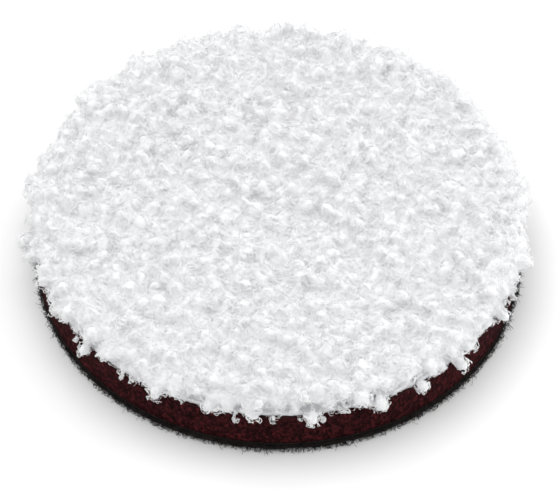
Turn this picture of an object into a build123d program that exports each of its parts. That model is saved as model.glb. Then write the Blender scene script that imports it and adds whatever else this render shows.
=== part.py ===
"""Microfibre polishing pad for a 75 mm (3 inch) hook-faced backing plate.

A die-cut laminate of discs, from the machine side up: brushed loops on their cloth,
hot-melt film, soft foam core, hot-melt film, and a knitted cloth carrying a deep pile
of microfibre tufts.  Millimetres, +Z towards the working face, origin at the centre of
the loop face that sticks to the backing plate.
"""

import os

from build123d import *

# ---- Driving dimensions ---------------------------------------------------------------
foam_diameter = 80.0
foam_thickness = 6.6

loop_height = 1.3  # brushed nylon loops, standing below their cloth
loop_cloth_thickness = 0.6
loop_splay = 0.5  # how far the outermost loops lean out past the cut edge

bond_thickness = 0.15  # each of the two hot-melt films

ground_cloth_thickness = 0.8
tuft_height = 4.4
rim_band = 4.0  # width of the band of tufts along the rim that leans outwards
rim_lean = 2.3  # how far that band overhangs the cut edge
rim_droop = 1.2  # how far it hangs below the ground cloth
rim_crown_radius = 2.6  # the rounded shoulder of the pile
rim_clearance = 0.3  # air between the hanging tufts and the foam's side

# ---- Levels and radii that follow from them --------------------------------------------
cut_radius = foam_diameter / 2  # every layer is cut by the same round die

loop_cloth_bottom = loop_height
backing_bond_bottom = loop_cloth_bottom + loop_cloth_thickness
foam_bottom = backing_bond_bottom + bond_thickness
face_bond_bottom = foam_bottom + foam_thickness
ground_cloth_bottom = face_bond_bottom + bond_thickness
tuft_root = ground_cloth_bottom + ground_cloth_thickness
tuft_tip = tuft_root + tuft_height

field_radius = cut_radius - rim_band
lip_inner_radius = cut_radius + rim_clearance
lip_outer_radius = cut_radius + rim_lean
lip_bottom = ground_cloth_bottom - rim_droop

loop_edge_radius = min(loop_splay, 0.45 * loop_height)
crown_radius = min(rim_crown_radius, 0.9 * tuft_height)
lip_edge_radius = 0.9 * (lip_outer_radius - lip_inner_radius)


# ---- Backing: what the machine's hook plate holds ---------------------------------------
# The loops: one low mat, rounded where the outermost loops splay past the cut.
with BuildPart() as loop_pile:
    with BuildSketch(Plane.XY):
        Circle(cut_radius + loop_splay)
    extrude(amount=loop_height)
    fillet(loop_pile.edges().filter_by(GeomType.CIRCLE), radius=loop_edge_radius)

# The knitted cloth that the loops are brushed from.
with BuildPart() as loop_cloth:
    with BuildSketch(Plane.XY.offset(loop_cloth_bottom)):
        Circle(cut_radius)
    extrude(amount=loop_cloth_thickness)

# Hot-melt film between the loop cloth and the foam.
with BuildPart() as backing_bond:
    with BuildSketch(Plane.XY.offset(backing_bond_bottom)):
        Circle(cut_radius)
    extrude(amount=bond_thickness)

# The foam disc that gives under pressure, so that the face follows the panel.
with BuildPart() as foam_core:
    with BuildSketch(Plane.XY.offset(foam_bottom)):
        Circle(cut_radius)
    extrude(amount=foam_thickness)


# ---- Face: what moves down as the foam is squashed ---------------------------------------
# Hot-melt film between the foam and the face cloth.
with BuildPart() as face_bond:
    with BuildSketch(Plane.XY.offset(face_bond_bottom)):
        Circle(cut_radius)
    extrude(amount=bond_thickness)

# The knitted ground cloth that holds the roots of the tufts.
with BuildPart() as ground_cloth:
    with BuildSketch(Plane.XY.offset(ground_cloth_bottom)):
        Circle(cut_radius)
    extrude(amount=ground_cloth_thickness)

# The upright tufts, which hold each other up, taken as one soft disc.
with BuildPart() as tuft_field:
    with BuildSketch(Plane.XY.offset(tuft_root)):
        Circle(field_radius)
    extrude(amount=tuft_height)

# The band of tufts along the cut edge.  Nothing holds them on the outside, so they lean
# over the edge and hang a little below the cloth, clear of the foam's side.
with BuildPart() as tuft_rim:
    with BuildSketch(Plane.XZ):
        with BuildLine():
            Polyline(
                (field_radius, tuft_root),
                (field_radius, tuft_tip),
                (lip_outer_radius, tuft_tip),
                (lip_outer_radius, lip_bottom),
                (lip_inner_radius, lip_bottom),
                (lip_inner_radius, tuft_root),
                close=True,
            )
        make_face()
    revolve(axis=Axis.Z)
    crown_edge = tuft_rim.edges().group_by(Axis.Z)[-1].sort_by(SortBy.RADIUS)[-1]
    fillet(crown_edge, radius=crown_radius)
    lip_edge = tuft_rim.edges().group_by(Axis.Z)[0].sort_by(SortBy.RADIUS)[-1]
    fillet(lip_edge, radius=lip_edge_radius)


# ---- Export: one STEP file per piece ------------------------------------------------------
pieces = {
    "loop_pile": loop_pile,
    "loop_cloth": loop_cloth,
    "backing_bond": backing_bond,
    "foam_core": foam_core,
    "face_bond": face_bond,
    "ground_cloth": ground_cloth,
    "tuft_field": tuft_field,
    "tuft_rim": tuft_rim,
}

os.makedirs("parts", exist_ok=True)
for name, piece in pieces.items():
    piece.part.label = name
    export_step(piece.part, f"parts/{name}.step")
    print(f"{name:13s} {piece.part.volume / 1000:6.2f} cm3  {piece.part.bounding_box()}")
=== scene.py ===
# %% [markdown]
# # A microfibre polishing pad
# This pad is a die-cut sandwich.  From the machine side up it is a mat of brushed black
# loops on their cloth, a glue film, soft maroon foam, another film, and a white knitted
# cloth with a deep pile of microfibre.  The engineering model gives the sizes, the
# places and the one motion, the face sinking as the foam is pressed.  These cells give
# the pad its looks.  Nearly all of that is fibre, so the lesson is about growing fibre.

import math

import bpy
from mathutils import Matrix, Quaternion, Vector


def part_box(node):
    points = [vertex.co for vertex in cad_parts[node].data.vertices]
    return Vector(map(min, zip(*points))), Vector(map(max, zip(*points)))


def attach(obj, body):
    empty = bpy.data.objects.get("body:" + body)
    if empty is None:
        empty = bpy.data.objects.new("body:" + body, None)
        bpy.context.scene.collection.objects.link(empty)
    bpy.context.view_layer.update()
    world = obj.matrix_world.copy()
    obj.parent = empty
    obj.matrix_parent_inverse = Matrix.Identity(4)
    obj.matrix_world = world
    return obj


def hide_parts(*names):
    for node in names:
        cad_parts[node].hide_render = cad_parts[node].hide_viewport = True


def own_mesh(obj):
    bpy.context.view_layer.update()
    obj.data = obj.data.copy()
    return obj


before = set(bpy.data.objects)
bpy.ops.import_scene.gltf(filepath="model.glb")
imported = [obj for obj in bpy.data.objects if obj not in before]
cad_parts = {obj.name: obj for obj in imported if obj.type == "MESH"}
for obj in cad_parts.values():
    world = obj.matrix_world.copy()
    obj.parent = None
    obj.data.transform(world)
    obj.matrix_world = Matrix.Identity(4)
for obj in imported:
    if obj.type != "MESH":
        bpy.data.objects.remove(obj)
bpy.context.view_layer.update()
MM = 0.001

# %% [markdown]
# Every piece takes its place from the box of the node it stands for.  A box is two
# corners, and a round layer needs three other numbers, its radius, its lowest level and
# its highest, so a small helper turns one into the other.

# %% Levels and radii of the layers
def disc_of(node):
    low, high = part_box(node)
    return (high[0] - low[0]) / 2, low[2], high[2]


loop_root = disc_of("loop_pile")[2]
cut_radius, loop_cloth_low, loop_cloth_high = disc_of("loop_cloth")
foam_radius, foam_low, foam_high = disc_of("foam_core")
ground_radius, ground_low, ground_high = disc_of("ground_cloth")
rim_radius, _, tuft_tip = disc_of("tuft_rim")
print("foam from", round(foam_low / MM, 2), "to", round(foam_high / MM, 2), "mm")

# %% [markdown]
# The shapes and the finishes are both made with node trees here, and a long formula is
# hard to read as separate nodes and links.  This helper adds a node, fills in its inputs
# and hands back its output, so that a formula in nodes reads almost like one on paper.
# An input may be a number, a vector or the output of another node.

# %% A helper that wires nodes
class Net:
    def __init__(self, tree):
        self.tree = tree

    def fill(self, socket, value):
        if isinstance(value, bpy.types.NodeSocket):
            self.tree.links.new(value, socket)
        elif value is not None:
            socket.default_value = value

    def add(self, kind, *values, sockets=None, **settings):
        node = self.tree.nodes.new(kind)
        for name, value in settings.items():
            setattr(node, name, value)
        for socket, value in zip(node.inputs, values):
            self.fill(socket, value)
        for key, value in (sockets or {}).items():
            self.fill(node.inputs[key], value)
        return node

    def math(self, operation, *values):
        return self.add("ShaderNodeMath", *values, operation=operation).outputs[0]

    def total(self, first, *others):
        for other in others:
            first = self.math("ADD", first, other)
        return first

    def times(self, first, *others):
        for other in others:
            first = self.math("MULTIPLY", first, other)
        return first

    def vector(self, operation, *values):
        return self.add("ShaderNodeVectorMath", *values, operation=operation).outputs["Vector"]

    def together(self, first, *others):
        for other in others:
            first = self.vector("ADD", first, other)
        return first

    def scaled(self, vector, factor):
        node = self.add("ShaderNodeVectorMath", vector, operation="SCALE")
        self.fill(node.inputs["Scale"], factor)
        return node.outputs["Vector"]

    def xyz(self, x, y, z):
        return self.add("ShaderNodeCombineXYZ", x, y, z).outputs[0]

    def split(self, vector):
        return self.add("ShaderNodeSeparateXYZ", vector).outputs

    def ramp(self, value, from_low, from_high, to_low=0.0, to_high=1.0):
        node = self.add("ShaderNodeMapRange", value, from_low, from_high, to_low, to_high)
        return node.outputs[0]

    def noise(self, vector, wavelength, detail=2.0, roughness=0.5):
        """Smooth noise whose lumps are about one wavelength, in metres, apart."""
        return self.add("ShaderNodeTexNoise", sockets={
            "Vector": vector, "Scale": 1 / wavelength, "Detail": detail, "Roughness": roughness})

    def grain(self, vector, wavelength, detail=2.0, roughness=0.5):
        return self.noise(vector, wavelength, detail, roughness).outputs["Fac"]

    def shiver(self, vector, wavelength, amount):
        """A small push in a direction that drifts with the place."""
        colour = self.noise(vector, wavelength).outputs["Color"]
        return self.scaled(self.vector("SUBTRACT", colour, (0.5, 0.5, 0.5)), amount)


# %% [markdown]
# The finishes come first, so that each piece can be dressed as soon as it is made.  A
# finish is one shader, the Principled BSDF, with a pattern driving its colour and a bump
# driving its normal.  What all the fibrous finishes share is a cloudy mix of two tones
# and a fine irregular relief, so that pair is a node group with its own inputs, and each
# material sets its own tones and sizes.

# %% A group that more than one finish uses
def new_group(name, kind, sockets):
    tree = bpy.data.node_groups.new(name, kind)
    for direction, socket, label in sockets:
        tree.interface.new_socket(label, in_out=direction, socket_type=socket)
    return tree, Net(tree), tree.nodes.new("NodeGroupInput").outputs


mottle, net, given = new_group("mottle", "ShaderNodeTree", (
    ("INPUT", "NodeSocketColor", "Dark"), ("INPUT", "NodeSocketColor", "Light"),
    ("INPUT", "NodeSocketFloat", "Scale"), ("INPUT", "NodeSocketFloat", "Crimp"),
    ("INPUT", "NodeSocketFloat", "Relief"),
    ("OUTPUT", "NodeSocketColor", "Colour"), ("OUTPUT", "NodeSocketVector", "Normal")))
place = net.add("ShaderNodeTexCoord").outputs["Object"]
cloud = net.add("ShaderNodeTexNoise", sockets={
    "Vector": place, "Scale": given["Scale"], "Detail": 3.0, "Roughness": 0.6})
blend = net.add("ShaderNodeMix", data_type="RGBA", sockets={
    "Factor": net.ramp(cloud.outputs["Fac"], 0.32, 0.68), 6: given["Dark"], 7: given["Light"]})
bent = net.together(place, net.shiver(place, 0.5 * MM, 0.9 * MM))
crimp = net.add("ShaderNodeTexNoise", sockets={
    "Vector": bent, "Scale": given["Crimp"], "Detail": 3.0, "Roughness": 0.65})
relief = net.add("ShaderNodeBump", sockets={"Distance": given["Relief"], "Height": crimp.outputs["Fac"]})
net.add("NodeGroupOutput", blend.outputs[2], relief.outputs[0])


# %% [markdown]
# Two helpers use that group.  The first makes a material with an empty Principled BSDF,
# for a finish with a pattern of its own, and the second joins the group to one.

# %% Helpers for finishes
def finish(name, roughness, specular):
    made = bpy.data.materials.new(name)
    made.use_nodes = True
    made.node_tree.nodes.clear()
    net = Net(made.node_tree)
    shader = net.add("ShaderNodeBsdfPrincipled", sockets={
        "Roughness": roughness, "Specular IOR Level": specular})
    net.add("ShaderNodeOutputMaterial", shader.outputs[0])
    return made, net, shader


def mottled(name, dark, light, scale, crimp, relief, **values):
    made, net, shader = finish(name, **values)
    group = net.add("ShaderNodeGroup", node_tree=mottle, sockets={
        "Dark": (*dark, 1), "Light": (*light, 1), "Scale": 1 / scale, "Crimp": 1 / crimp,
        "Relief": relief})
    net.fill(shader.inputs["Base Color"], group.outputs["Colour"])
    net.fill(shader.inputs["Normal"], group.outputs["Normal"])
    return made


# %% [markdown]
# Microfibre is bright because light wanders through it from fibre to fibre.  Each fibre
# is nearly white, and the grey between the tufts is only light that has been lost on
# the way, so the tones of the fibre are very light and its shading is left to the
# geometry.  The packed mass under the fibre gets a darker copy of the white, a painted
# shade that tones down the full light falling on its smooth face.

# %% White microfibre and its cloth
microfibre = mottled("white_microfibre", (0.950, 0.952, 0.960), (0.975, 0.976, 0.980), scale=1.4 * MM,
                     crimp=0.29 * MM, relief=0.06 * MM, roughness=0.9, specular=0.1)
# Painted shade: the packed mass's tones are darker than the fibre's, to tone down the light on its smooth
# face.
pile_mass_painted_shade = mottled("packed_microfibre_painted_shade", (0.895, 0.90, 0.91), (0.955, 0.957, 0.963), scale=0.8 * MM,
                      crimp=0.33 * MM, relief=0.14 * MM, roughness=0.95, specular=0.05)
white_knit = mottled("white_knit", (0.80, 0.81, 0.83), (0.90, 0.905, 0.92), scale=0.9 * MM,
                     crimp=0.25 * MM, relief=0.10 * MM, roughness=0.9, specular=0.15)

# %% [markdown]
# The foam is dyed through and cut with a die, so its side shows cells sliced open:
# pores a quarter of a millimetre wide, their darkness painted shade, with walls painted
# lighter where they would catch a redder light, and random cells painted brighter as
# glints.  A Voronoi pattern is made of cells, which noise is not, so it gives the pores.

# %% Maroon foam
maroon_foam, net, shader = finish("maroon_foam", roughness=0.9, specular=0.04)
place = net.add("ShaderNodeTexCoord").outputs["Object"]
wavy = net.together(place, net.shiver(place, 0.6 * MM, 0.35 * MM))
bent = net.vector("MULTIPLY", wavy, (1.0, 1.0, 0.62))
cells = net.add("ShaderNodeTexVoronoi", sockets={"Vector": bent, "Scale": 1 / (0.36 * MM), "Randomness": 1.0})
# Painted shade and highlights: the pore centres are darkened, and random cells are brightened as glints.
walls = net.ramp(cells.outputs["Distance"], 0.12, 0.70)
glints = net.math("POWER", net.split(cells.outputs["Color"])[0], 2.2)
patches = net.ramp(net.grain(bent, 0.9 * MM, 3.0, 0.65), 0.34, 0.66)
sparkle = net.times(glints, net.total(net.times(patches, 0.5), 0.35))
dye_with_painted_light = net.add("ShaderNodeMix", data_type="RGBA", sockets={
    "Factor": net.total(net.times(walls, patches, 0.22), sparkle),
    6: (0.0078, 0.0016, 0.0019, 1), 7: (0.091, 0.0148, 0.0178, 1)})
net.fill(shader.inputs["Base Color"], dye_with_painted_light.outputs[2])
pores = net.add("ShaderNodeBump", sockets={"Distance": 0.16 * MM, "Height": walls})
net.fill(shader.inputs["Normal"], pores.outputs[0])

# %% [markdown]
# The backing is black nylon.  Its cloth and its loops are the same yarn, so they share
# the mottle group with two very dark tones.  The glue films are only seen as a hairline
# between the layers, where they have soaked up the colour of what they hold.

# %% Black nylon and the glue films
black_loops = mottled("black_loops", (0.005, 0.004, 0.004), (0.024, 0.019, 0.017), scale=0.8 * MM,
                      crimp=0.22 * MM, relief=0.10 * MM, roughness=0.6, specular=0.12)
black_knit = mottled("black_knit", (0.007, 0.006, 0.006), (0.017, 0.013, 0.012), scale=0.6 * MM,
                     crimp=0.3 * MM, relief=0.12 * MM, roughness=0.75, specular=0.1)
dyed_glue = mottled("maroon_glue_film", (0.012, 0.0025, 0.003), (0.045, 0.008, 0.010), scale=0.9 * MM,
                    crimp=0.4 * MM, relief=0.03 * MM, roughness=0.7, specular=0.1)
dark_glue = mottled("dark_glue_film", (0.008, 0.004, 0.004), (0.024, 0.009, 0.010), scale=0.9 * MM,
                    crimp=0.4 * MM, relief=0.03 * MM, roughness=0.5, specular=0.15)


# %% [markdown]
# An operator acts on everything that is selected, so every step starts from a clear
# selection.  These helpers do that, name a fresh primitive, move its place into its mesh
# and apply a modifier, which are the four things that each piece needs.

# %% Helpers for pieces
def only(*pieces):
    if bpy.context.object and bpy.context.object.mode != "OBJECT":
        bpy.ops.object.mode_set(mode="OBJECT")
    bpy.ops.object.select_all(action="DESELECT")
    for piece in pieces:
        piece.select_set(True)
    bpy.context.view_layer.objects.active = pieces[0] if pieces else None


def keep_as(name):
    piece = bpy.context.object
    piece.name = piece.data.name = name
    only(piece)
    bpy.ops.object.transform_apply(location=True, rotation=True, scale=True)
    return piece


def modify(piece, kind, **values):
    only(piece)
    modifier = piece.modifiers.new("step", kind)
    for name, value in values.items():
        setattr(modifier, name, value)
    bpy.ops.object.modifier_apply(modifier="step")


def dress(piece, material, body):
    piece.data.materials.clear()
    piece.data.materials.append(material)
    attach(piece, body)
    print(f"{piece.name}: {len(piece.data.polygons)} faces")


def copy_of(piece, name):
    copy = piece.copy()
    copy.data = piece.data.copy()
    copy.name = copy.data.name = name
    bpy.context.collection.objects.link(copy)
    return copy


# %% [markdown]
# Noise displacement turns a smooth form into cloth, foam or fleece.  It could be the
# Displace modifier with a texture, but a geometry node tree measures its noise in
# metres, can add up several sizes of lump, and can leave a flat face alone.

# %% Lumps pushed out along the surface
def geometry_group(name):
    tree, net, given = new_group(name, "GeometryNodeTree", (
        ("INPUT", "NodeSocketGeometry", "Geometry"), ("OUTPUT", "NodeSocketGeometry", "Geometry")))
    return tree, net, given[0]


def roughen(piece, *lumps, keep_flat=True):
    """Each lump is (wavelength, height).  Faces that point straight up or down stay flat."""
    tree, net, source = geometry_group("roughen")
    place = net.add("GeometryNodeInputPosition").outputs[0]
    normal = net.add("GeometryNodeInputNormal").outputs[0]
    push = 0.0
    for wavelength, height in lumps:
        centred = net.total(net.grain(place, wavelength, 1.0), -0.5)
        push = net.total(push, net.times(centred, 2 * height))
    if keep_flat:
        upright = net.math("LESS_THAN", net.math("ABSOLUTE", net.split(normal)[2]), 0.6)
        push = net.times(push, upright)
    moved = net.add("GeometryNodeSetPosition", source, sockets={"Offset": net.scaled(normal, push)})
    net.add("NodeGroupOutput", moved.outputs[0])
    modify(piece, "NODES", node_group=tree)
    piece.data.shade_smooth()


# %% [markdown]
# ## Foam and cloth
# A die cuts the foam and the two cloths in one stroke, so each is a disc with an upright
# side, and their tops and bottoms are glued and never seen.  A disc is a cylinder whose
# upright edges are subdivided into rows about as fine as its cells or stitches.  Noise
# then moves the points of the side in and out, and leaves the flat faces alone.

# %% A die-cut disc
def die_cut_disc(name, radius, low, high, cell, *lumps):
    only()
    bpy.ops.mesh.primitive_cylinder_add(vertices=int(2 * math.pi * radius / cell), radius=radius,
                                        depth=high - low, location=(0, 0, (low + high) / 2))
    disc = keep_as(name)
    bpy.ops.object.mode_set(mode="EDIT")
    bpy.ops.mesh.select_mode(type="EDGE")
    bpy.ops.mesh.select_all(action="DESELECT")
    bpy.ops.object.mode_set(mode="OBJECT")
    corners = disc.data.vertices
    for edge in disc.data.edges:
        start, end = (corners[i].co for i in edge.vertices)
        edge.select = abs(start.z - end.z) > 0.5 * (high - low)
    bpy.ops.object.mode_set(mode="EDIT")
    bpy.ops.mesh.subdivide(number_cuts=max(1, int((high - low) / cell)))
    bpy.ops.object.mode_set(mode="OBJECT")
    roughen(disc, *lumps)
    return disc


# %% [markdown]
# The foam is what gives when the pad is pressed, so its piece gets a mesh of its own.
# The cloths are sheets, and each carries the yarn that is looped through it.

# %% Foam and cloth discs
FOAM_INSET, LOOP_CLOTH_INSET, FACE_CLOTH_INSET = 0.12 * MM, 0.25 * MM, 0.40 * MM
foam = die_cut_disc("foam_disc", foam_radius - FOAM_INSET, foam_low, foam_high, 0.30 * MM,
                    (0.7 * MM, 0.10 * MM), (1.6 * MM, 0.10 * MM), (9.0 * MM, 0.12 * MM))
dress(foam, maroon_foam, "backing")
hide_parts("foam_core")
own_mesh(foam)

loop_cloth = die_cut_disc("loop_backing_cloth", cut_radius - LOOP_CLOTH_INSET, loop_cloth_low,
                          loop_cloth_high, 0.25 * MM, (0.6 * MM, 0.16 * MM), (2.0 * MM, 0.10 * MM))
dress(loop_cloth, black_knit, "backing")
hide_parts("loop_cloth")
face_cloth = die_cut_disc("face_cloth", ground_radius - FACE_CLOTH_INSET, ground_low, ground_high, 0.25 * MM,
                          (0.7 * MM, 0.18 * MM), (3.0 * MM, 0.15 * MM))
dress(face_cloth, white_knit, "face")
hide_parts("ground_cloth")

# %% [markdown]
# The two glue films keep their CAD shapes, which are right as they are: thin flat discs.
# They only need a finish.

# %% Glue films
for node, material in (("backing_bond", dark_glue), ("face_bond", dyed_glue)):
    film = bpy.data.objects[node]
    film.data.materials.clear()
    film.data.materials.append(material)


# %% [markdown]
# ## Growing fibre
# Hair particles could cover a surface with fibre, but yarn loops need both ends down and
# a shape that can be steered.  So a geometry node tree does it.  It scatters roots on a
# carrier, puts a straight line on each, bends every line into an arch with a formula,
# and sweeps a small polygon along it.
#
# Let t run along the line.  The cosine of pi t goes from 1 to -1 and carries the arch
# sideways, and its sine goes up and comes down again, so together they draw the loop.  A
# sweep below 1 stops part of the way, which leaves a free end.  Random numbers that
# belong to the root give each tuft its own height, width and lean, and noise that
# belongs to the place gives the crimp.

# %% The tree that grows fibre
def fibre_tree(spacing, height, half_width, thickness, strands=1, spread=0.0, points=8, sides=3,
               seed=1, share=0, shares=1, sweep=1.0, sway=0.5, drift=0.0, crimp=0.3 * MM,
               wavelength=0.9 * MM, droop=0.0, sink=0.2 * MM, shortest=0.5, plump=False, lowest=None,
               highest=None, least_normal=-0.8, most_normal=2.0):
    tree, net, source = geometry_group("fibre")
    if spacing:
        facing = net.split(net.add("GeometryNodeInputNormal").outputs[0])[2]
        wanted = net.times(net.math("GREATER_THAN", facing, least_normal),
                           net.math("LESS_THAN", facing, most_normal))
        scatter = net.add("GeometryNodeDistributePointsOnFaces", distribute_method="POISSON", sockets={
            "Mesh": source, "Selection": wanted, "Distance Min": spacing, "Density Max": 1.6 / spacing**2,
            "Seed": seed})
        roots, root_normal = scatter.outputs["Points"], scatter.outputs["Normal"]
    else:
        held = net.add("GeometryNodeCaptureAttribute", source, domain="FACE")
        held.capture_items.new("VECTOR", "normal")
        net.fill(held.inputs["normal"], net.add("GeometryNodeInputNormal").outputs[0])
        roots = net.add("GeometryNodeMeshToPoints", held.outputs[0], mode="FACES").outputs[0]
        root_normal = held.outputs["normal"]
    keep = net.add("GeometryNodeCaptureAttribute", roots, domain="POINT")
    for kind, name in (("VECTOR", "root"), ("VECTOR", "normal"), ("INT", "tuft")):
        keep.capture_items.new(kind, name)
    net.fill(keep.inputs["root"], net.add("GeometryNodeInputPosition").outputs[0])
    net.fill(keep.inputs["normal"], root_normal)
    net.fill(keep.inputs["tuft"], net.add("GeometryNodeInputIndex").outputs[0])
    root, normal, tuft = (keep.outputs[name] for name in ("root", "normal", "tuft"))

    x, y, z = net.split(root)
    turn = net.math("FRACT", net.total(net.math("DIVIDE", net.math("ARCTAN2", y, x), 2 * math.pi), 1.0))
    sector = net.math("FLOOR", net.times(turn, float(shares)))
    elsewhere = net.math("GREATER_THAN", net.math("ABSOLUTE", net.total(sector, -float(share))), 0.5)
    mine = net.add("GeometryNodeDeleteGeometry", keep.outputs["Geometry"], elsewhere, domain="POINT")
    many = net.add("GeometryNodeDuplicateElements", mine.outputs[0], domain="POINT",
                   sockets={"Amount": strands})
    numbered = net.add("GeometryNodeCaptureAttribute", many.outputs["Geometry"], domain="POINT")
    numbered.capture_items.new("INT", "strand")
    net.fill(numbered.inputs["strand"], many.outputs["Duplicate Index"])
    strand = numbered.outputs["strand"]
    line = net.add("GeometryNodeResampleCurve", net.add("GeometryNodeCurvePrimitiveLine").outputs[0],
                   sockets={"Count": points})
    planted = net.add("GeometryNodeInstanceOnPoints", numbered.outputs["Geometry"],
                      sockets={"Instance": line.outputs[0]})
    grown = net.add("GeometryNodeRealizeInstances", planted.outputs[0])

    def random(low, high, number, identity=tuft):
        node = net.add("FunctionNodeRandomValue", None, None, low, high, None, None, None, identity,
                       number + 97 * seed)
        return node.outputs[1]

    def random_vector(size, number):
        return net.xyz(*(random(-size, size, number + k) for k in range(3)))

    each = net.total(net.times(tuft, 32.0), strand)
    part = net.add("GeometryNodeSplineParameter").outputs["Factor"]
    angle = net.times(part, sweep * math.pi)
    s, c = net.math("SINE", angle), net.math("COSINE", angle)

    rise = net.vector("NORMALIZE", net.together(
        normal, random_vector(sway, 12), net.shiver(root, 5.5 * MM, 4 * drift), (0.0, 0.0, -droop)))
    across = net.vector("NORMALIZE", net.vector("CROSS_PRODUCT", rise, random_vector(1.0, 15)))
    aside = net.vector("CROSS_PRODUCT", rise, across)
    reach = net.times(net.math("POWER", s, 0.8), random(shortest, 1.2, 18), height)
    width = net.times(random(0.6, 1.5, 19), half_width)
    spine = net.together(root,
                         net.scaled(across, net.times(c, width, -1.0)),
                         net.scaled(aside, net.times(random(-1.0, 1.0, 20), s, s, half_width)),
                         net.scaled(rise, net.total(reach, -sink)))
    outward = net.together(net.scaled(across, net.times(c, -1.0)), net.scaled(rise, s))
    twist = net.total(net.times(strand, 2.4), net.times(part, 7.0), random(0.0, 1.6, 21, each))
    apart = net.times(net.total(net.times(s, 0.45), 0.55), random(0.55, 1.15, 22, each), spread)
    place = net.together(spine,
                         net.scaled(aside, net.times(net.math("COSINE", twist), apart)),
                         net.scaled(outward, net.times(net.math("SINE", twist), apart)))
    place = net.together(place, net.shiver(place, wavelength, 2 * crimp))
    x, y, z = net.split(place)
    if lowest is not None:
        z = net.math("MAXIMUM", z, lowest)
    if highest is not None:
        z = net.math("MINIMUM", z, highest)
    moved = net.add("GeometryNodeSetPosition", grown.outputs[0], sockets={"Position": net.xyz(x, y, z)})

    uneven = net.ramp(net.grain(place, 0.9 * MM), 0.3, 0.7, 0.75, 1.25)
    thick = net.times(random(0.7, 1.3, 23, each), uneven, thickness)
    if plump:
        bulge = net.math("SINE", net.times(net.total(net.times(part, 0.86), 0.1), math.pi))
        thick = net.times(thick, net.math("POWER", bulge, 0.5))
    polygon = net.add("GeometryNodeCurvePrimitiveCircle", sides, sockets={"Radius": 1.0})
    swept = net.add("GeometryNodeCurveToMesh", moved.outputs[0], polygon.outputs[0],
                    sockets={"Scale": thick, "Fill Caps": True})
    smooth = net.add("GeometryNodeSetShadeSmooth", swept.outputs[0])
    net.add("NodeGroupOutput", smooth.outputs[0])
    return tree


def grow(carrier, name, **values):
    """Grows fibre on a copy of the carrier, and only the fibre is left of the copy.

    A carrier made of start faces has no other use, so it is removed.
    """
    piece = copy_of(carrier, name)
    if carrier.name.startswith("start"):
        bpy.data.objects.remove(carrier)
    modify(piece, "NODES", node_group=fibre_tree(**values))
    return piece


# %% [markdown]
# Here and there a tuft has worked loose at the cut and hangs over the foam.  A hanging
# tuft starts from a small face at the rim, which points the way the tuft hangs, and the
# fibre tree can grow from each such face alone.  These are listed one by one, because a
# few odd ones say more about how the pad was made than an even scatter.

# %% Faces that loose tufts grow from
HANGING = (  # bearing round the rim and downward tilt in degrees, level above the foam and stand-off in mm
    (-171, -5, 2.0, 1.2), (-167, 15, 1.6, 0.9), (-150, 30, 1.0, -0.2), (-138, 66, 0.4, 0.3),
    (-117, 20, 1.3, 0.0), (-104, 5, 1.6, 0.0), (-95, 10, 1.3, 0.0), (-82, 30, 0.8, 0.1),
    (-66, 25, 1.0, 0.1), (-56, 10, 1.4, 0.0), (-45, 45, 0.6, 0.3), (-28, 60, 0.6, 0.4),
    (-12, 10, 1.2, 0.2), (20, 30, 0.8, 0.2), (57, 15, 1.0, 0.2), (98, 30, 0.6, 0.2),
    (128, 10, 1.2, 0.2), (150, 50, 0.6, 0.3), (172, 0, 2.0, 0.6),
)
CURL_LEVEL, CURL_STAND_OFF = 0.6, -0.5  # they start inside the cloth's cut edge
CURLED = [(bearing, tilt, CURL_LEVEL, CURL_STAND_OFF) for bearing, tilt in (
    (-166, 20), (-141, 30), (-127, 45), (-98, 30), (-84, 45), (-80, 40), (-75, 40), (-66, 30),
    (-45, 50), (-22, 20), (14, 20), (43, 30), (71, 25), (98, 35), (117, 20), (139, 30), (163, 25),
)]


def starts_at(places):
    faces = []
    for bearing, tilt, level, stand_off in places:
        turn, lean = math.radians(bearing), math.radians(tilt)
        outward = Vector((math.cos(turn), math.sin(turn), 0))
        way = outward * math.cos(lean) - Vector((0, 0, math.sin(lean)))
        start = outward * (cut_radius + stand_off * MM) + Vector((0, 0, foam_high + level * MM))
        only()
        bpy.ops.mesh.primitive_plane_add(size=0.4 * MM, rotation=way.to_track_quat("Z", "Y").to_euler(),
                                         location=start)
        faces.append(keep_as("start"))
    only(*faces)
    bpy.ops.object.join()
    return faces[0]


# %% [markdown]
# ## The pile's mass
# Inside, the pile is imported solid, and only its surface shows.  So a body fills it: a
# low tub, narrower at the cloth than at its shoulder because the yarn leans out over the
# cut, with its shoulder rounded.  Fat lobes grown all over it, merged into it by a voxel
# remesh, give the mounds where neighbouring loops bunch together.
#
# This pile lies over to one side, perhaps from handling, so the tub's top is set a little
# off centre and its foot less so.  One short stretch of its side is pushed in.

# %% The mass of the pile
SHOULDER = 1.8 * MM
FOOT_INSET, TOP_INSET = 1.4 * MM, 1.5 * MM  # room for the lobes to stand out sideways
LOBE_ROOM = 1.6 * MM  # and upwards
LIE = (-0.80 * MM, 0.65 * MM)
FOOT_SHIFT = (0.50 * MM, -0.20 * MM, 0)
DENT_FROM, DENT_TO = -2.92, -2.60  # bearings in radians
DENT_PUSH = (0.35 * MM, 0.15 * MM, 0)


def push_selected(value):
    bpy.ops.object.mode_set(mode="EDIT")
    bpy.ops.transform.translate(value=value)
    bpy.ops.object.mode_set(mode="OBJECT")


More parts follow.
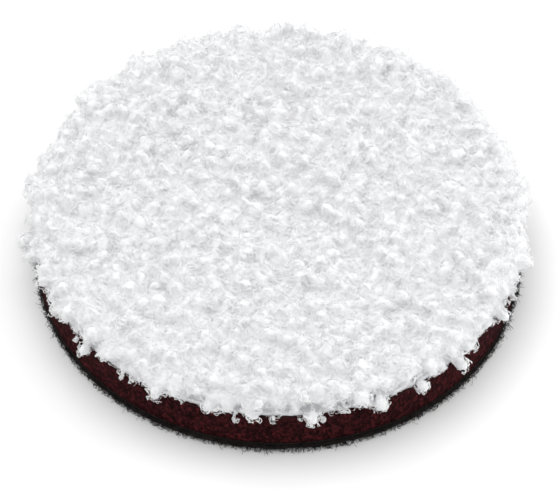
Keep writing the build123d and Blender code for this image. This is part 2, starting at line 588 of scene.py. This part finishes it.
mass_top = tuft_tip - LOBE_ROOM
mass_low = ground_low + 0.35 * MM
only()
bpy.ops.mesh.primitive_cone_add(vertices=128, radius1=cut_radius - FOOT_INSET,
                                radius2=rim_radius - TOP_INSET, depth=mass_top - mass_low,
                                location=(*LIE, (mass_top + mass_low) / 2))
mass = keep_as("tuft_mass")
for corner in mass.data.vertices:
    corner.select = corner.co.z < mass_low + 0.1 * MM
push_selected(FOOT_SHIFT)
for corner in mass.data.vertices:
    corner.select = DENT_FROM < math.atan2(corner.co.y, corner.co.x) < DENT_TO
push_selected(DENT_PUSH)
modify(mass, "BEVEL", width=SHOULDER, segments=6, limit_method="ANGLE", angle_limit=0.6)
modify(mass, "REMESH", mode="VOXEL", voxel_size=0.8 * MM)
roughen(mass, (4.6 * MM, 0.65 * MM), keep_flat=False)
lobes = grow(mass, "lobes", spacing=1.85 * MM, height=2.15 * MM, half_width=0.75 * MM, thickness=1.05 * MM,
             points=7, sides=10, seed=4, sweep=0.5, sway=0.4, drift=0.4, crimp=0.6 * MM, wavelength=2.2 * MM,
             sink=1.0 * MM, shortest=0.7, plump=True, droop=-0.3, highest=tuft_tip + 0.1 * MM)
rim_lobes = grow(face_cloth, "rim_lobes", spacing=0.80 * MM, height=0.9 * MM, half_width=0.5 * MM,
                 thickness=0.50 * MM, points=6, sides=8, seed=14, sweep=0.55, sway=0.8, crimp=0.35 * MM,
                 wavelength=1.4 * MM, sink=0.2 * MM, shortest=0.4, plump=True, droop=0.1, least_normal=-0.5,
                 most_normal=0.5)
clumps = grow(starts_at(HANGING), "clumps", spacing=None, height=1.5 * MM, half_width=0.55 * MM,
              thickness=0.62 * MM, strands=3, spread=0.45 * MM, points=7, sides=10, seed=6, sweep=0.6,
              sway=0.35, crimp=0.35 * MM, wavelength=1.2 * MM, sink=0.5 * MM, shortest=0.8, plump=True,
              lowest=4.2 * MM)
only(mass, lobes, rim_lobes, clumps)
bpy.ops.object.join()
modify(mass, "REMESH", mode="VOXEL", voxel_size=0.445 * MM)
roughen(mass, (2.6 * MM, 0.2 * MM), (1.2 * MM, 0.25 * MM), keep_flat=False)
dress(mass, pile_mass_painted_shade, "face")
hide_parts("tuft_field", "tuft_rim")

# %% [markdown]
# ## The pile's skin
# Two sizes of fibre cover the mass.  Crimped strands, about as thick as a sewing thread,
# are the loops' own yarn.  Finer fibre lies between them and makes the edge of the pile
# soft.  Each size is grown in quarters of the disc, to keep each piece small.

# %% Crimped strands and fine fibre
QUARTERS = 4
skin = []
for quarter in range(QUARTERS):
    strands = grow(mass, f"tuft_strands_{quarter + 1}", spacing=0.64 * MM, height=0.68 * MM,
                   half_width=0.7 * MM, thickness=0.060 * MM, strands=2, spread=0.22 * MM, points=7,
                   seed=9, share=quarter, shares=QUARTERS, sway=0.7, sweep=0.85, sink=0.12 * MM,
                   crimp=0.35 * MM, wavelength=0.95 * MM, shortest=0.35)
    fibre = grow(mass, f"tuft_fibre_{quarter + 1}", spacing=0.40 * MM, height=0.42 * MM, half_width=0.5 * MM,
                 thickness=0.028 * MM, points=5, seed=8, share=quarter, shares=QUARTERS, sway=1.1, sweep=0.75,
                 sink=0.05 * MM, crimp=0.35 * MM, wavelength=0.55 * MM, shortest=0.1)
    skin += [strands, fibre]

# %% [markdown]
# Where the die cut through loops, open curls of yarn are left at the rim.  They grow from
# small faces as the hanging tufts do, but with a few thin strands each, not merged.

# %% Open curls at the rim
curls = grow(starts_at(CURLED), "tuft_curls", spacing=None, height=1.9 * MM, half_width=0.7 * MM,
             thickness=0.050 * MM, strands=9, spread=0.35 * MM, points=12, seed=3, sway=0.5, sweep=0.8,
             crimp=0.45 * MM, wavelength=1.6 * MM, sink=0.2 * MM, shortest=0.5, lowest=3.4 * MM)
edge_yarn = grow(face_cloth, "cloth_edge_yarn", spacing=0.30 * MM, height=0.65 * MM, half_width=0.5 * MM,
                 thickness=0.045 * MM, points=6, seed=15, sway=1.0, sweep=0.75, crimp=0.3 * MM,
                 wavelength=0.9 * MM, sink=0.1 * MM, shortest=0.2, least_normal=-0.5, most_normal=0.5)
skin += [curls, edge_yarn]
for piece in skin:
    dress(piece, microfibre, "face")

# %% [markdown]
# ## The brushed loops
# Underneath, fine nylon loops are brushed into a felt that hooks can catch.  Like the
# pile it is a mass with a skin: a low mat with an uneven face, loops standing a little
# proud of it, and a ragged fringe where the die cut through them.

# %% The loop mat
MAT_LIFT = 0.3 * MM
only()
bpy.ops.mesh.primitive_cylinder_add(vertices=256, radius=cut_radius + 0.05 * MM, depth=loop_root - MAT_LIFT,
                                    location=(0, 0, (loop_root + MAT_LIFT) / 2))
mat = keep_as("loop_mat")
modify(mat, "REMESH", mode="VOXEL", voxel_size=0.5 * MM)
roughen(mat, (1.3 * MM, 0.16 * MM), (3.0 * MM, 0.14 * MM), keep_flat=False)
dress(mat, black_loops, "backing")
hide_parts("loop_pile")

# %% [markdown]
# The fringe and the loops each grow from a hidden drum.  The scatter keeps its roots
# apart over the whole drum before it picks a side, so on a drum that is lower than the
# spacing, the roots on its top crowd out some of those underneath.  The loops' drum is
# a little lower than their spacing, so they stand further apart than that number says.

# %% Loops and fringe
def loop_drum(low, high):
    only()
    bpy.ops.mesh.primitive_cylinder_add(vertices=256, radius=cut_radius - 0.1 * MM, depth=high - low,
                                        location=(0, 0, (low + high) / 2))
    return keep_as("drum")


fringe_drum = loop_drum(0.20 * MM, 2.00 * MM)
fringe = grow(fringe_drum, "loop_fringe", spacing=0.21 * MM, height=0.75 * MM, half_width=0.35 * MM,
              thickness=0.042 * MM, points=4, seed=23, sway=0.9, sweep=0.6, crimp=0.35 * MM,
              wavelength=0.7 * MM, shortest=0.1, sink=0.1 * MM, lowest=0.08 * MM, least_normal=-0.5,
              most_normal=0.5, droop=0.15)
face_drum = loop_drum(0.44 * MM, 1.16 * MM)
loops = grow(face_drum, "brushed_loops", spacing=0.95 * MM, height=1.05 * MM, half_width=0.5 * MM,
             thickness=0.045 * MM, points=7, seed=21, sway=0.8, crimp=0.25 * MM, wavelength=0.8 * MM,
             shortest=0.6, sink=0.05 * MM, lowest=0.09 * MM, least_normal=-2.0, most_normal=-0.5)
wisps = grow(face_drum, "loop_wisps", spacing=0.55 * MM, height=1.4 * MM, half_width=0.5 * MM,
             thickness=0.028 * MM, points=7, seed=27, sway=1.0, sweep=0.5, crimp=0.3 * MM,
             wavelength=1.3 * MM, shortest=0.3, sink=0.1 * MM, lowest=0.06 * MM, least_normal=-0.5,
             most_normal=0.5, droop=-0.2)
for drum in (fringe_drum, face_drum):
    bpy.data.objects.remove(drum)
for piece in (loops, fringe, wisps):
    dress(piece, black_loops, "backing")

# %% [markdown]
# ## Floor, light and camera
# The pad lies on a pale floor, in the bright even light of a product picture: a white
# sky for the shadowless part, one large soft lamp overhead, and a low one to the right
# that brings out the side.  Light must bounce many times inside the pile, or it turns
# grey, so more bounces are allowed than usual.

# %% Floor and light
pale_floor = mottled("pale_floor", (0.95, 0.95, 0.95), (0.96, 0.96, 0.96), scale=60 * MM, crimp=2 * MM,
                     relief=0.0, roughness=0.8, specular=0.1)
only()
bpy.ops.mesh.primitive_plane_add(size=4.0)
floor = keep_as("floor")
floor.data.materials.append(pale_floor)

FRONT_SKY, BACK_SKY = 0.615, 1.24  # the sky behind the pad is the brighter one
world = bpy.data.worlds.new("studio")
world.use_nodes = True
net = Net(world.node_tree)
sky = world.node_tree.nodes["Background"]
toward_back = net.split(net.add("ShaderNodeTexCoord").outputs["Generated"])[1]
net.fill(sky.inputs["Color"], (1, 1, 1, 1))
net.fill(sky.inputs["Strength"], net.ramp(toward_back, -1.0, 1.0, FRONT_SKY, BACK_SKY))
bpy.context.scene.world = world


def soft_lamp(name, place, size, power):
    data = bpy.data.lights.new(name, "AREA")
    data.shape, data.size, data.energy = "DISK", size, power
    lamp = bpy.data.objects.new(name, data)
    bpy.context.collection.objects.link(lamp)
    lamp.location = place
    lamp.rotation_euler = (-Vector(place)).to_track_quat("-Z", "Y").to_euler()


soft_lamp("overhead", (-0.15, 0.05, 0.70), 0.8, 1.9)
soft_lamp("from_the_right", (0.60, 0.00, 0.16), 0.30, 0.95)

# %% [markdown]
# The camera stands back with a long lens, as a product photographer would, so that the
# disc is drawn with little perspective.  It looks down by half a right angle and a bit,
# which shows the pile's face and the layers of the side in one view.

# %% Camera
ELEVATION = math.radians(50.2)
DISTANCE = 0.420
ROLL = math.radians(1.07)
aim = Vector((0.29, 0.60, 0.0)) * MM
data = bpy.data.cameras.new("camera")
data.sensor_width, data.lens = 36.0, 161.6
data.clip_start, data.clip_end = 0.01, 20.0
camera = bpy.data.objects.new("camera", data)
bpy.context.collection.objects.link(camera)
camera.location = aim + DISTANCE * Vector((0, -math.cos(ELEVATION), math.sin(ELEVATION)))
camera.rotation_mode = "QUATERNION"
camera.rotation_quaternion = (aim - camera.location).to_track_quat("-Z", "Y") @ Quaternion((0, 0, 1), ROLL)
scene = bpy.context.scene
scene.camera = camera
scene.view_settings.view_transform = "Standard"
scene.cycles.max_bounces = 24
scene.cycles.diffuse_bounces = 20
